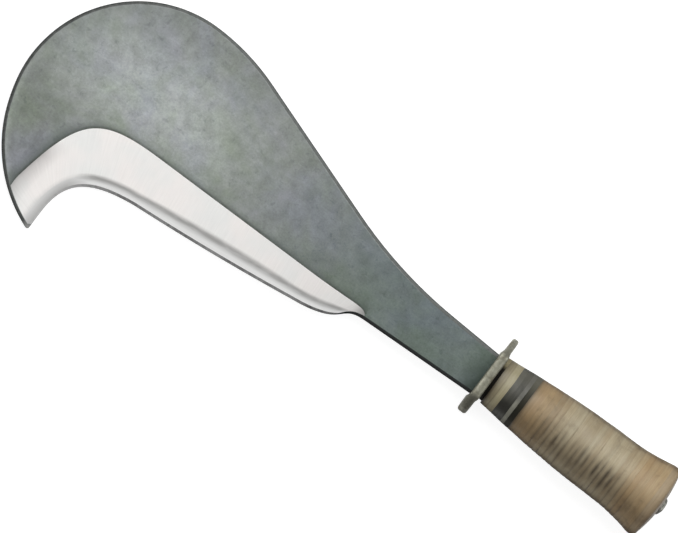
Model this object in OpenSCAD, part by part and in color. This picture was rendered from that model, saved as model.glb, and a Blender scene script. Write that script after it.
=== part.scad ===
// Billhook with a hooked blade, a through tang, an oval guard and a grip of stacked leather discs.
// The origin is the middle of the guard's face on the blade's side, on the tang's axis.
// +X runs along the tang to the butt, +Y points to the blade's back, +Z stands on the blade's flat.
// All lengths are in millimetres and all angles in degrees.

/* [Blade outline] */
// Length of the blade from the guard to the front of the head
blade_len = 299.5; // [280:0.5:320]
// Radius of the upper front curve of the head
head_r = 72.4; // [68:0.2:76]
// How far the foremost point of the head lies below the tang's axis
head_drop = 10.8; // [7:0.2:14]
// Radius of the crown, where the back turns into the head
crown_r = 128; // [105:1:150]
// Radius of the outer curve of the beak
beak_r = 82; // [76:0.5:90]
// Width of the beak, from the front of the head to the beak's inner side
beak_w = 55.6; // [48:0.2:62]
// Width of the neck at the guard
neck_w = 26.2; // [22:0.2:30]
// Angle at which each side of the neck widens towards the blade
neck_flare = 2.5; // [0.5:0.1:4]
// How far the middle of the neck lies below the tang's axis
neck_drop = 0.6; // [0:0.1:2]
// Distance from the guard at which the back begins to rise
back_start = 70; // [60:0.5:80]
// Radius of the blend between the neck and the back
back_blend_r = 260; // [120:5:300]

/* [Cutting edge] */
// Distance from the guard at which the heel begins
heel_start = 70; // [60:0.5:76]
// Length of the heel's double curve along the tang's axis
heel_len = 39; // [36:0.5:46]
// Depth of the edge below the tang's axis at the end of the heel
heel_depth = 31.5; // [28:0.1:35]
// Length of the handle that steers the heel's curve away from the neck
heel_neck_pull = 16; // [12:0.5:20]
// Length of the handle that steers the heel's curve into the long edge
heel_edge_pull = 34; // [28:0.5:36]
// Angle between the long edge and the tang's axis
edge_angle = 6.4; // [3:0.1:9]
// How far the middle of the long edge swells below its chord
edge_belly = 0.8; // [0:0.1:2]
// Length of the throat's curve along the edge, from the corner of edge and beak
throat_run = 39; // [32:0.5:46]
// Length of the throat's curve along the beak, from the same corner
throat_drop = 29; // [24:0.5:34]
// How far the throat's curve is drawn towards that corner
throat_fullness = 0.74; // [0.6:0.01:0.85]

/* [Blade section] */
// Thickness of the blade at the guard
neck_t = 5; // [4.6:0.1:7]
// Thickness of the blade at the front of the head
front_t = 3.2; // [2.4:0.1:4.4]
// Half the thickness left at the cutting edge
edge_half_t = 0.15; // [0.1:0.05:0.4]
// Width of the ground bevel at the end of the heel
heel_bevel_w = 18.4; // [15:0.2:21]
// How far the bevel line is drawn up where it leaves the neck
heel_bevel_lift = 3.5; // [0:0.5:4]
// How far the bevel line is drawn along the blade where it leaves the neck
heel_bevel_run = 2.5; // [1:0.5:12]
// Width of the ground bevel at the end of the long edge
edge_bevel_w = 28.6; // [24:0.2:32]
// Width of the ground bevel across the beak
beak_bevel_w = 21.4; // [18:0.2:24]
// How far the beak's bevel line rises above the end of the throat
beak_bevel_lift = 9; // [5:0.5:14]
// How far the beak's bevel line leans towards the tip of the beak
beak_bevel_lean = 9; // [6:0.5:12]
// How far the bevel line is drawn into the corner behind the throat
corner_fullness = 0.86; // [0.7:0.01:0.92]
// Width of the narrow bevel along the cutting edge
honed_w = 5.8; // [4:0.2:8]
// How much wider the narrow bevel is in the middle of the long edge
honed_belly = 1.6; // [0:0.2:3]
// Angle of the narrow bevel to the middle plane of the blade
honed_angle = 7; // [5:0.5:10]
// Steepest angle of the bevels, where they begin at the heel
runout_angle = 14; // [10:0.5:20]

/* [Tang] */
// Width of the tang
tang_w = 8; // [6:0.2:9]
// Step from each flat of the neck down to the tang
tang_step = 0.3; // [0.1:0.1:1]
// Gap around the tang in each slot
slot_fit = 0.2; // [0.1:0.05:0.4]
// How far the peened head reaches past the corners of the slot under it
peen_lap = 0.4; // [0.2:0.1:1.5]
// Height of the peened head
peen_h = 2.8; // [1.8:0.1:3.6]

/* [Guard] */
// Length of the guard across the blade
guard_w = 49; // [44:0.5:56]
// Depth of the guard through the blade's flat
guard_d = 35; // [32:0.5:42]
// Width of the flat on each side of the guard
guard_flat_w = 25; // [16:0.5:34]
// Thickness of the guard
guard_t = 5.2; // [3.5:0.1:7]

/* [Grip] */
// Half width of the grip at the guard
grip_front = 13.6; // [13:0.1:16]
// Half width of the grip at its belly
grip_belly = 19.1; // [17:0.1:21]
// Distance of the belly from the guard's face
belly_x = 80; // [65:1:90]
// How much the butt flares out on each side
butt_flare = 3; // [0:0.1:4]
// Length of the flared part in front of the butt disc
flare_len = 26; // [15:1:36]
// Depth of the grip's oval as a share of its width
grip_oval = 0.82; // [0.7:0.01:1]
// Thickness of the fibre washer behind the guard
fibre_t = 2.2; // [1.5:0.1:4]
// How far the fibre washer stands back from the grip's surface
fibre_inset = 1.2; // [0:0.1:2]
// Number of tan discs
tan_count = 2; // [1:1:4]
// Thickness of a tan disc
tan_t = 3.9; // [2.5:0.1:5]
// Number of dark discs
dark_count = 2; // [1:1:4]
// Thickness of a dark disc
dark_t = 3.25; // [2.5:0.05:5]
// Thickness of the pale spacer disc
spacer_t = 2.4; // [1.5:0.1:4]
// Thickness of the black band disc
band_t = 3; // [2:0.1:5]
// Number of brown leather discs
leather_count = 25; // [18:1:30]
// Mean thickness of a brown leather disc
leather_t = 3.38; // [2.5:0.02:4]
// Greatest difference of a brown leather disc from the mean thickness
leather_vary = 0.5; // [0:0.05:0.8]
// Thickness of the domed butt disc on the axis
butt_t = 7.4; // [6:0.1:12]
// Radius of the dome
dome_r = 80; // [50:1:120]
// Width of the butt washer's rim around the peened head
butt_washer_rim = 1.8; // [1:0.1:4]
// Thickness of the butt washer
butt_washer_t = 1.6; // [1:0.1:2.4]
// How deep the top of the butt washer lies below the top of the dome
butt_washer_sink = 1; // [0.6:0.1:1.6]

/* [Fineness] */
// Angle between the points of an arc
arc_step = 4; // [2:0.5:8]
// Number of points around an oval
oval_points = 56; // [40:4:80]
// Number of points around a circle
round_points = 96; // [48:8:128]
// Number of steps along each curve of the edge
curve_steps = 16; // [10:1:24]

/* [Hidden] */
// Margin by which a cutter reaches past what it cuts
over = 3;
// Largest share of the bevel's width that the narrow bevel takes
honed_share = 0.4;
// Length of the tang's root inside the neck
tang_root = back_start / 2;
// Number of steps along the straighter parts of the edge
half_steps = ceil(curve_steps / 2);
// Width of the bevel at its first station
first_bevel_w = 0.4;
// How the flare grows along the butt
flare_power = 1.9;
// Turn that spreads the disc thicknesses unevenly
vary_turn = 137;

// Colours
steel_grey = [0.52, 0.54, 0.53];
guard_grey = [0.5, 0.5, 0.44];
washer_grey = [0.62, 0.6, 0.55];
fibre_black = [0.12, 0.11, 0.08];
tan_leather = [0.57, 0.54, 0.44];
dark_leather = [0.3, 0.29, 0.25];
pale_leather = [0.42, 0.41, 0.34];
black_leather = [0.2, 0.18, 0.12];
brown_leather = [0.54, 0.47, 0.37];
butt_leather = [0.57, 0.48, 0.37];

// Outline of the head and the beak
head_c = [head_r - blade_len, -head_drop];
crown_c = head_c + [0, head_r - crown_r];
beak_c = [beak_r - blade_len, -head_drop];
beak_x = beak_w - blade_len;
tip_angle = 360 - acos((beak_x - beak_c.x) / beak_r);
tip = arc_point(beak_c, beak_r, tip_angle);

// Line of the back, from the neck to its tangent point on the crown
neck_top = [0, neck_back(0)];
neck_foot = [0, neck_belly(0)];
back_foot = [-back_start, neck_back(back_start)];
to_crown = crown_c - back_foot;
back_heading = atan2(to_crown.y, to_crown.x) + 360 - asin(crown_r / norm(to_crown));
back_end_angle = back_heading - 90;
back_end = arc_point(crown_c, crown_r, back_end_angle);

// Corners of the lower side
neck_dir = -[cos(neck_flare), sin(neck_flare)];
edge_dir = -[cos(edge_angle), sin(edge_angle)];
edge_normal = [edge_dir.y, -edge_dir.x];
heel_a = [-heel_start, neck_belly(heel_start)];
heel_b = [-heel_start - heel_len, -heel_depth];
hook_corner = [beak_x, heel_b.y - (heel_b.x - beak_x) * tan(edge_angle)];
throat_a = hook_corner - throat_run * edge_dir;
throat_b = hook_corner - [0, throat_drop];
beak_end = [beak_x, tip.y - 2 * over];

// Corners of the bevel line
bevel_a = heel_a + [0, first_bevel_w];
bevel_b = heel_b + heel_bevel_w * edge_normal;
bevel_c = throat_a + edge_bevel_w * edge_normal;
bevel_d = throat_b + [-beak_bevel_w, beak_bevel_lift];
bevel_corner = [bevel_d.x + beak_bevel_lean, bevel_c.y];
bevel_dir = (bevel_d - bevel_corner) / norm(bevel_d - bevel_corner);
bevel_e = [beak_end.x - beak_bevel_w / 2, beak_end.y];

// Depth that the guard's oval would have without its flats
guard_oval_d = guard_d / sqrt(1 - pow(guard_flat_w / guard_w, 2));

// Places along the grip
fibre_x = guard_t;
tan_x = fibre_x + fibre_t;
dark_x = tan_x + tan_count * tan_t;
spacer_x = dark_x + dark_count * dark_t;
band_x = spacer_x + spacer_t;
leather_x = band_x + band_t;
butt_x = leather_disc_x(leather_count);
butt_end = butt_x + butt_t;
flare_x = butt_x - flare_len;

// Tang, its slots and the parts that close the stack
tang_t = neck_t - 2 * tang_step;
slot_w = tang_w + 2 * slot_fit;
slot_t = tang_t + 2 * slot_fit;
peen_d = norm([slot_w, slot_t]) + 2 * peen_lap;
butt_washer_d = peen_d + 2 * butt_washer_rim;
peen_x = butt_end - butt_washer_sink;
washer_x = peen_x - butt_washer_t;
peen_ball_r = (pow(peen_d / 2, 2) + pow(peen_h, 2)) / (2 * peen_h);

// Name of one of several like pieces, counted from the guard
function nth(name, i) = str(name, "_", i < 9 ? "0" : "", i + 1);
function numbered(name, count) = [for (i = [0:count - 1]) nth(name, i)];

// Upper and lower side of the neck at a distance from the guard
function neck_back(u) = neck_w / 2 + u * tan(neck_flare) - neck_drop;
function neck_belly(u) = -neck_w / 2 - u * tan(neck_flare) - neck_drop;

// Half thickness of the blade at a place along X
function half_t(x) = (neck_t - (front_t - neck_t) * x / blade_len) / 2;

// Points on arcs and curves
function arc_point(c, r, a) = c + r * [cos(a), sin(a)];
function arc(c, r, a0, a1) =
    let (n = max(2, ceil(abs(a1 - a0) / arc_step)))
    [for (i = [0:n]) arc_point(c, r, a0 + (a1 - a0) * i / n)];
function bezier_point(p, t) =
    let (s = 1 - t)
    s * s * s * p[0] + 3 * s * s * t * p[1] + 3 * s * t * t * p[2] + t * t * t * p[3];
function bezier(p, n) = [for (i = [0:n]) bezier_point(p, i / n)];
function straight(a, b, n) = [for (i = [0:n]) a + (b - a) * i / n];
function swell(t) = 4 * t * (1 - t);
function long_edge(n) = [
    for (i = [0:n])
        let (t = i / n)
        heel_b + (throat_a - heel_b) * t - edge_belly * swell(t) * edge_normal
];
function rest(list) = [for (i = [1:len(list) - 1]) list[i]];
function reversed(list) = [for (i = [len(list) - 1:-1:0]) list[i]];

// Arc that blends two lines through a corner
function blend(a, corner, b, r) =
    let (
        u = (a - corner) / norm(a - corner),
        v = (b - corner) / norm(b - corner),
        half = acos(u * v) / 2,
        reach = min(r / tan(half), norm(a - corner), norm(b - corner)),
        c = corner + reach / cos(half) * (u + v) / norm(u + v),
        p = corner + reach * u - c,
        q = corner + reach * v - c,
        a0 = atan2(p.y, p.x),
        turn = (atan2(q.y, q.x) - a0 + 540) % 360 - 180
    )
    arc(c, norm(p), a0, a0 + turn);

// Control points of the curves of the edge and of the bevel line
heel_curve = [heel_a, heel_a + heel_neck_pull * neck_dir, heel_b - heel_edge_pull * edge_dir, heel_b];
throat_curve = [
    throat_a,
    throat_a + throat_fullness * (hook_corner - throat_a),
    throat_b + throat_fullness * (hook_corner - throat_b),
    throat_b
];
bevel_heel_curve = [
    bevel_a,
    [heel_a.x - heel_bevel_run, bevel_b.y + heel_bevel_lift],
    [heel_curve[2].x, bevel_b.y],
    bevel_b
];
bevel_corner_curve = [
    bevel_c,
    bevel_c + corner_fullness * (bevel_corner - bevel_c),
    bevel_d + corner_fullness * (bevel_corner - bevel_d),
    bevel_d
];
bevel_beak_curve = [
    bevel_d,
    bevel_d + beak_bevel_lift * bevel_dir,
    bevel_e + [-beak_bevel_lean, beak_bevel_lean],
    bevel_e
];

// The blade's outline, from the guard along the back, round the head and back along the edge
outline = concat(
    [neck_top],
    blend(neck_top, back_foot, back_end, back_blend_r),
    arc(crown_c, crown_r, back_end_angle, 90),
    rest(arc(head_c, head_r, 90, 180)),
    rest(arc(beak_c, beak_r, 180, tip_angle)),
    reversed(bezier(throat_curve, curve_steps)),
    rest(reversed(long_edge(half_steps))),
    rest(reversed(bezier(heel_curve, curve_steps))),
    [neck_foot]
);

// Matching stations along the edge and along the bevel line
edge_line = concat(
    bezier(heel_curve, curve_steps),
    rest(long_edge(half_steps)),
    rest(bezier(throat_curve, curve_steps)),
    rest(straight(throat_b, beak_end, half_steps))
);
bevel_line = concat(
    bezier(bevel_heel_curve, curve_steps),
    rest(straight(bevel_b, bevel_c, half_steps)),
    rest(bezier(bevel_corner_curve, curve_steps)),
    rest(bezier(bevel_beak_curve, half_steps))
);

// Width of the narrow bevel at a place of the edge along X
function honed_width(x) =
    honed_w + honed_belly * swell(max(0, min(1, (heel_b.x - x) / (heel_b.x - throat_a.x))));

// Five corners of the space that grinding takes off above the edge point e and the bevel point b
function station(e, b) =
    let (
        w = norm(b - e),
        inward = (b - e) / w,
        h = half_t(b.x),
        honed = min(honed_width(e.x), w * honed_share),
        edge_z = max(edge_half_t, h - w * tan(runout_angle)),
        honed_z = edge_z + max(honed * tan(honed_angle), (h - edge_z) * honed / w),
        low = edge_z - over * (honed_z - edge_z) / honed,
        high = h + over * (h - honed_z) / (w - honed),
        outer = e - over * inward,
        line = e + honed * inward,
        inner = b + over * inward,
        top = neck_t
    )
    [
        [outer.x, outer.y, low],
        [line.x, line.y, honed_z],
        [inner.x, inner.y, high],
        [inner.x, inner.y, top],
        [outer.x, outer.y, top]
    ];

// Half width of the grip at a place along X
function grip_half(x) =
    grip_front
    + (grip_belly - grip_front) * sin(90 * min(1, x / belly_x))
    + butt_flare * pow(max(0, (x - flare_x) / (butt_x - flare_x)), flare_power);

// Thickness and start of a brown leather disc
function leather_disc_t(i) = leather_t + leather_vary * sin(vary_turn * i);
function leather_disc_x(i) = i == 0 ? leather_x : leather_disc_x(i - 1) + leather_disc_t(i - 1);

// Oval prism along X, with its half width across the blade and its half depth through it
module oval_plate(x, t, half_w, half_d) {
    turn = 360 / oval_points;
    translate([x, 0, 0])
        rotate([90, 0, 90])
            linear_extrude(t)
                polygon([for (i = [0:oval_points - 1]) [half_w * cos(turn * i), half_d * sin(turn * i)]]);
}

// Slot for the tang
module tang_slot(x, t) {
    translate([x - over, -slot_w / 2, -slot_t / 2])
        cube([t + 2 * over, slot_w, slot_t]);
}

// Disc of the grip with its slot
module grip_disc(x, t, inset = 0) {
    half = grip_half(x + t / 2) - inset;
    difference() {
        oval_plate(x, t, half, half * grip_oval);
        tang_slot(x, t);
    }
}

// Space that grinding takes off one face of the blade
module grinding() {
    rings = [for (i = [0:len(edge_line) - 1]) station(edge_line[i], bevel_line[i])];
    n = len(rings);
    corners = len(rings[0]);
    function at(i, j) = i * corners + j % corners;
    walls = [
        for (i = [0:n - 2])
            for (j = [0:corners - 1])
                each [
                    [at(i, j), at(i, j + 1), at(i + 1, j)],
                    [at(i, j + 1), at(i + 1, j + 1), at(i + 1, j)]
                ]
    ];
    first_cap = [[3, 1, 0], [3, 2, 1], [3, 0, 4]];
    last_cap = [for (f = first_cap) [for (j = reversed(f)) at(n - 1, j)]];
    polyhedron([for (ring = rings) each ring], concat(walls, first_cap, last_cap));
}

// Blade blank with its taper in thickness
module blank() {
    wide = head_r + beak_r;
    intersection() {
        translate([0, 0, -neck_t])
            linear_extrude(2 * neck_t)
                polygon(outline);
        rotate([90, 0, 0])
            linear_extrude(2 * wide, center = true)
                polygon([
                    [0, half_t(0)],
                    [-blade_len - over, half_t(-blade_len - over)],
                    [-blade_len - over, -half_t(-blade_len - over)],
                    [0, -half_t(0)]
                ]);
    }
}

// Tang that runs through the guard and the grip
module tang() {
    translate([-tang_root, -tang_w / 2, -tang_t / 2])
        cube([tang_root + peen_x + peen_h / 2, tang_w, tang_t]);
}

// Head peened over the butt washer
module peened_head() {
    translate([peen_x, 0, 0])
        rotate([0, 90, 0])
            intersection() {
                translate([0, 0, peen_h - peen_ball_r])
                    sphere(peen_ball_r, $fn = round_points);
                cylinder(h = 2 * peen_h, d = 2 * peen_d, $fn = round_points);
            }
}

// Forged blade, tang and peened head in one piece
module blade() {
    color(steel_grey)
        difference() {
            union() {
                blank();
                tang();
                peened_head();
            }
            grinding();
            mirror([0, 0, 1]) grinding();
        }
}

// Oval guard with two flat sides, between the blade's shoulders and the grip
module guard() {
    color(guard_grey)
        difference() {
            intersection() {
                oval_plate(0, guard_t, guard_w / 2, guard_oval_d / 2);
                translate([-over, -guard_w, -guard_d / 2])
                    cube([guard_t + 2 * over, 2 * guard_w, guard_d]);
            }
            tang_slot(0, guard_t);
        }
}

// Black fibre washer behind the guard
module fibre_washer() {
    color(fibre_black)
        grip_disc(fibre_x, fibre_t, fibre_inset);
}

// Tan leather disc
module tan_disc(i) {
    color(tan_leather)
        grip_disc(tan_x + i * tan_t, tan_t);
}

// Dark leather disc
module dark_disc(i) {
    color(dark_leather)
        grip_disc(dark_x + i * dark_t, dark_t);
}

// Thin pale disc between the dark ones
module spacer_disc() {
    color(pale_leather)
        grip_disc(spacer_x, spacer_t);
}

// Black disc that ends the banded part of the grip
module band_disc() {
    color(black_leather)
        grip_disc(band_x, band_t);
}

// Brown leather disc of the main part of the grip
module leather_disc(i) {
    color(brown_leather)
        grip_disc(leather_disc_x(i), leather_disc_t(i));
}

// Domed leather disc at the butt, with a seat for the washer
module butt_disc() {
    half = grip_half(butt_x);
    color(butt_leather)
        difference() {
            intersection() {
                oval_plate(butt_x, butt_t, half, half * grip_oval);
                translate([butt_end - dome_r, 0, 0])
                    sphere(dome_r, $fn = 2 * round_points);
            }
            tang_slot(butt_x, butt_t);
            translate([washer_x, 0, 0])
                rotate([0, 90, 0])
                    cylinder(h = butt_t, d = butt_washer_d + 2 * slot_fit, $fn = round_points);
        }
}

// Steel washer under the peened head
module butt_washer() {
    color(washer_grey)
        difference() {
            translate([washer_x, 0, 0])
                rotate([0, 90, 0])
                    cylinder(h = butt_washer_t, d = butt_washer_d, $fn = round_points);
            tang_slot(washer_x, butt_washer_t);
        }
}

blade();
guard();
fibre_washer();
for (i = [0:tan_count - 1])
    tan_disc(i);
for (i = [0:dark_count - 1])
    dark_disc(i);
spacer_disc();
band_disc();
for (i = [0:leather_count - 1])
    leather_disc(i);
butt_disc();
butt_washer();
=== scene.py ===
import random
from collections import namedtuple
from math import acos, asin, atan2, ceil, copysign, cos, degrees, exp, hypot, pi, radians, sin, sqrt, tan

import bpy
import numpy as np
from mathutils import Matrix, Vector, noise
from mathutils.geometry import delaunay_2d_cdt


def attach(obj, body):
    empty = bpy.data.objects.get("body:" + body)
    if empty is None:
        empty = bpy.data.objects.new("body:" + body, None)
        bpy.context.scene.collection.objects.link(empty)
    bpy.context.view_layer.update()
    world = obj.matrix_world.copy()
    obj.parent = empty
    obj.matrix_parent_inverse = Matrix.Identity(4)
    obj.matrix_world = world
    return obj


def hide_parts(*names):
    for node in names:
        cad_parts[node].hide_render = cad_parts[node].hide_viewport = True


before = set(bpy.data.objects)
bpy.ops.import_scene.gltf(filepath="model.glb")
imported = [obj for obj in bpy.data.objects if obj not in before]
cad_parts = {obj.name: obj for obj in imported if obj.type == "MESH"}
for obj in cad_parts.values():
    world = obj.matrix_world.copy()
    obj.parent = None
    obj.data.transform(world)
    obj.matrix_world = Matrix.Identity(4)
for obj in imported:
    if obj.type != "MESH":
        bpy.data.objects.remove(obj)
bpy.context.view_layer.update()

# The frame is in metres, and the sizes below are in millimetres and degrees
MM = 0.001

# Blade outline
BLADE_LEN = 299.5
HEAD_R = 72.4
HEAD_DROP = 10.8
CROWN_R = 128.0
BEAK_R = 82.0
BEAK_W = 55.6
BEAK_WEAR = 0.6
BEAK_WEAR_TURN = 20.0
TIP_ROUND = 1.3
TIP_CLEAR_X = 0.5
TIP_CLEAR_Y = 0.2
NECK_W = 26.2
NECK_FLARE = 2.5
NECK_DROP = 0.6
BACK_START = 70.0
BACK_BLEND_R = 260.0

# Cutting edge
HEEL_START = 70.0
HEEL_LEN = 39.0
HEEL_DEPTH = 31.5
HEEL_NECK_PULL = 16.0
HEEL_EDGE_PULL = 34.0
EDGE_ANGLE = 6.4
EDGE_BELLY = 0.8
THROAT_RUN = 39.0
THROAT_DROP = 29.0
THROAT_FULLNESS = 0.74

# Blade section
NECK_T = 5.0
FRONT_T = 3.2
EDGE_HALF_T = 0.15
FIRST_BEVEL_W = 0.4
HEEL_BEVEL_W = 18.4
HEEL_BEVEL_LIFT = 3.5
HEEL_BEVEL_RUN = 2.5
EDGE_BEVEL_W = 28.6
BEAK_BEVEL_W = 21.4
BEAK_BEVEL_LIFT = 9.0
BEAK_BEVEL_LEAN = 9.0
BEAK_END_DROP = 6.0
CORNER_FULLNESS = 0.86
HONED_W = 5.8
HONED_BELLY = 1.6
HONED_SHARE = 0.4
HONED_ANGLE = 7.0
RUNOUT_ANGLE = 14.0
MICRO_W = 1.6
RIM_W = 2.0
RIM_DROP = 0.7
RIM_FADE_SHARE = 0.75
CREASE_ANGLE = 38.0

# Tang and peened head
TANG_W = 8.0
TANG_T = 4.4
TANG_SINK = 0.5
SLOT_FIT = 0.2
PEEN_LAP = 0.4
PEEN_H = 2.8
PEEN_DENT_R = 0.05
PEEN_DENT_H = 0.07

# Guard
GUARD_W = 49.0
GUARD_D = 35.0
GUARD_FLAT_W = 25.0
GUARD_T = 5.2
GUARD_ROUND = 0.8
GUARD_END_ROUND = 1.5
GUARD_LOWER_LEAN = -0.95
GUARD_UPPER_LEAN = 0.8
GUARD_REAR_LEAN = -0.7
GUARD_LEAN_START = 13.8
GUARD_LEAN_RUN = 2.2
GUARD_WEAR = 0.12

# Grip
GRIP_FRONT = 13.6
GRIP_BELLY = 19.1
BELLY_X = 80.0
BUTT_FLARE = 3.0
FLARE_LEN = 26.0
FLARE_POWER = 1.9
GRIP_OVAL = 0.82
FIBRE_T = 2.2
FIBRE_INSET = 1.2
TAN_COUNT = 2
TAN_T = 3.9
DARK_COUNT = 2
DARK_T = 3.25
SPACER_T = 2.4
BAND_T = 3.0
LEATHER_COUNT = 25
LEATHER_T = 3.38
LEATHER_VARY = 0.5
VARY_TURN = 137.0
BUTT_T = 7.4
BUTT_ROUND = 2.4
BUTT_RIM_SHARE = 0.8
DOME_R = 80.0
SEAT_LIP = 0.15
BUTT_WASHER_RIM = 1.8
BUTT_WASHER_T = 1.6
BUTT_WASHER_SINK = 1.0

# Seams between the discs, and the dirt beside them
SEAM_MIN = 0.04
SEAM_MAX = 0.42
SEAM_LEAST = 0.02
SEAM_POWER = 1.5
SEAM_QUIET = 0.12
SEAM_OPEN_X = 66.0
SEAM_OPEN_REACH = 21.0
SEAM_LOWER_GAIN = 1.2
SEAM_LOWER_TURN = 0.35
SEAM_UPPER_LOSS = 0.45
SEAM_WOBBLE = 0.3
SURFACE_WAVE = 0.14
STREAK_FIRST_X = 30.0
STREAK_LAST_X = 104.0
STREAK_RUN = 18.0
STREAK_AMOUNT = (0.4, 1.0)
STREAK_TOP = (-0.02, 0.18)
STREAK_FOOT = (-0.86, -0.66)
STREAK_FADE = 0.28
BUTT_GRIME = 0.5
SEAT_GRIME = 0.9
WASHER_STAIN = (1.2, 0.45)
BAND_STAIN = (1.1, 0.8)

# Fineness of the meshes
ARC_STEP = 1.5
CURVE_STEPS = 40
LONG_STEPS = 26
BEAK_STEPS = 14
NECK_STEPS = 10
BACK_STEPS = 20
BELLY_STEPS = 16
GRID_STEP = 5.0
RING_POINTS = 128
PEEN_POINTS = 48
GUARD_ROUND_STEPS = 6
MERGE = 1e-4
TINY = 1e-12

# Camera, which looks straight down on the blade's flat
PHOTO_SIZE = (678, 533)
VIEW_CENTRE = (-97.8, -1.8)
VIEW_TURN = 37.15
VIEW_MM_PER_PIXEL = 0.54
LENS = 600.0
SENSOR = 36.0

ROOT = "root"


# Plane geometry
def sind(a):
    return sin(radians(a))


def cosd(a):
    return cos(radians(a))


def tand(a):
    return tan(radians(a))


def clamp(t):
    return min(1.0, max(0.0, t))


def ease(t):
    return t * t * (3 - 2 * t)


def point(x, y):
    return Vector((x, y))


def table(points):
    return np.array([tuple(p) for p in points])


def neck_back(u):
    return NECK_W / 2 + u * tand(NECK_FLARE) - NECK_DROP


def neck_belly(u):
    return -NECK_W / 2 - u * tand(NECK_FLARE) - NECK_DROP


def half_t(x):
    return (NECK_T - (FRONT_T - NECK_T) * x / BLADE_LEN) / 2


def arc_point(c, r, a):
    return c + r * point(cosd(a), sind(a))


def arc(c, r, a0, a1):
    n = max(2, ceil(abs(a1 - a0) / ARC_STEP))
    return [arc_point(c, r, a0 + (a1 - a0) * i / n) for i in range(n + 1)]


def bezier(p, n):
    points = []
    for i in range(n + 1):
        t = i / n
        s = 1 - t
        points.append(s ** 3 * p[0] + 3 * s * s * t * p[1] + 3 * s * t * t * p[2] + t ** 3 * p[3])
    return points


def straight(a, b, n):
    return [a.lerp(b, i / n) for i in range(n + 1)]


def blend(a, corner, b, r):
    """Arc of radius r that rounds a corner between a and b."""
    u = (a - corner).normalized()
    v = (b - corner).normalized()
    half = acos(u.dot(v)) / 2
    reach = min(r / tan(half), (a - corner).length, (b - corner).length)
    c = corner + reach / cos(half) * (u + v).normalized()
    p = corner + reach * u - c
    q = corner + reach * v - c
    a0 = degrees(atan2(p.y, p.x))
    turn = (degrees(atan2(q.y, q.x)) - a0 + 540) % 360 - 180
    return arc(c, p.length, a0, a0 + turn)


def round_corner(a, corner, b, fullness):
    return [a, a.lerp(corner, fullness), b.lerp(corner, fullness), b]


def middle_of(points):
    return sum(points, point(0, 0)) / len(points)


# Outline of the blade, with the same named points as the solid
head_c = point(HEAD_R - BLADE_LEN, -HEAD_DROP)
crown_c = head_c + point(0, HEAD_R - CROWN_R)
beak_c = point(BEAK_R - BLADE_LEN, -HEAD_DROP)
beak_x = BEAK_W - BLADE_LEN
tip_angle = 360 - degrees(acos((beak_x - beak_c.x) / BEAK_R))
tip = arc_point(beak_c, BEAK_R, tip_angle)
neck_top = point(0, neck_back(0))
neck_foot = point(0, neck_belly(0))
back_foot = point(-BACK_START, neck_back(BACK_START))
to_crown = crown_c - back_foot
back_heading = degrees(atan2(to_crown.y, to_crown.x)) + 360
back_heading -= degrees(asin(CROWN_R / to_crown.length))
back_end = arc_point(crown_c, CROWN_R, back_heading - 90)
neck_dir = -point(cosd(NECK_FLARE), sind(NECK_FLARE))
edge_dir = -point(cosd(EDGE_ANGLE), sind(EDGE_ANGLE))
edge_normal = point(edge_dir.y, -edge_dir.x)
heel_a = point(-HEEL_START, neck_belly(HEEL_START))
heel_b = point(-HEEL_START - HEEL_LEN, -HEEL_DEPTH)
hook_corner = point(beak_x, heel_b.y - (heel_b.x - beak_x) * tand(EDGE_ANGLE))
throat_a = hook_corner - THROAT_RUN * edge_dir
throat_b = hook_corner - point(0, THROAT_DROP)
beak_end = point(beak_x, tip.y - BEAK_END_DROP)
bevel_a = heel_a + point(0, FIRST_BEVEL_W)
bevel_b = heel_b + HEEL_BEVEL_W * edge_normal
bevel_c = throat_a + EDGE_BEVEL_W * edge_normal
bevel_d = throat_b + point(-BEAK_BEVEL_W, BEAK_BEVEL_LIFT)
bevel_corner = point(bevel_d.x + BEAK_BEVEL_LEAN, bevel_c.y)
bevel_dir = (bevel_d - bevel_corner).normalized()
bevel_e = point(beak_end.x - BEAK_BEVEL_W / 2, beak_end.y)

heel_curve = [heel_a, heel_a + HEEL_NECK_PULL * neck_dir, heel_b - HEEL_EDGE_PULL * edge_dir, heel_b]
throat_curve = round_corner(throat_a, hook_corner, throat_b, THROAT_FULLNESS)
bevel_heel_curve = [
    bevel_a,
    point(heel_a.x - HEEL_BEVEL_RUN, bevel_b.y + HEEL_BEVEL_LIFT),
    point(heel_curve[2].x, bevel_b.y),
    bevel_b,
]
bevel_corner_curve = round_corner(bevel_c, bevel_corner, bevel_d, CORNER_FULLNESS)
bevel_beak_curve = [
    bevel_d,
    bevel_d + BEAK_BEVEL_LIFT * bevel_dir,
    bevel_e + point(-BEAK_BEVEL_LEAN, BEAK_BEVEL_LEAN),
    bevel_e,
]
long_edge = [
    p - EDGE_BELLY * 4 * (i / LONG_STEPS) * (1 - i / LONG_STEPS) * edge_normal
    for i, p in enumerate(straight(heel_b, throat_a, LONG_STEPS))
]
edge_line = (
    bezier(heel_curve, CURVE_STEPS)
    + long_edge[1:]
    + bezier(throat_curve, CURVE_STEPS)[1:]
    + straight(throat_b, beak_end, BEAK_STEPS)[1:]
)
bevel_line = (
    bezier(bevel_heel_curve, CURVE_STEPS)
    + straight(bevel_b, bevel_c, LONG_STEPS)[1:]
    + bezier(bevel_corner_curve, CURVE_STEPS)[1:]
    + bezier(bevel_beak_curve, BEAK_STEPS)[1:]
)
back_blend = blend(neck_top, back_foot, back_end, BACK_BLEND_R)
back_path = straight(neck_top, back_blend[0], NECK_STEPS)[:-1] + back_blend
back_path += straight(back_path[-1], back_end, BACK_STEPS)[1:-1]
back_path += arc(crown_c, CROWN_R, back_heading - 90, 90)
back_path += arc(head_c, HEAD_R, 90, 180)[1:]
worn_r = BEAK_R - BEAK_WEAR
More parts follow.
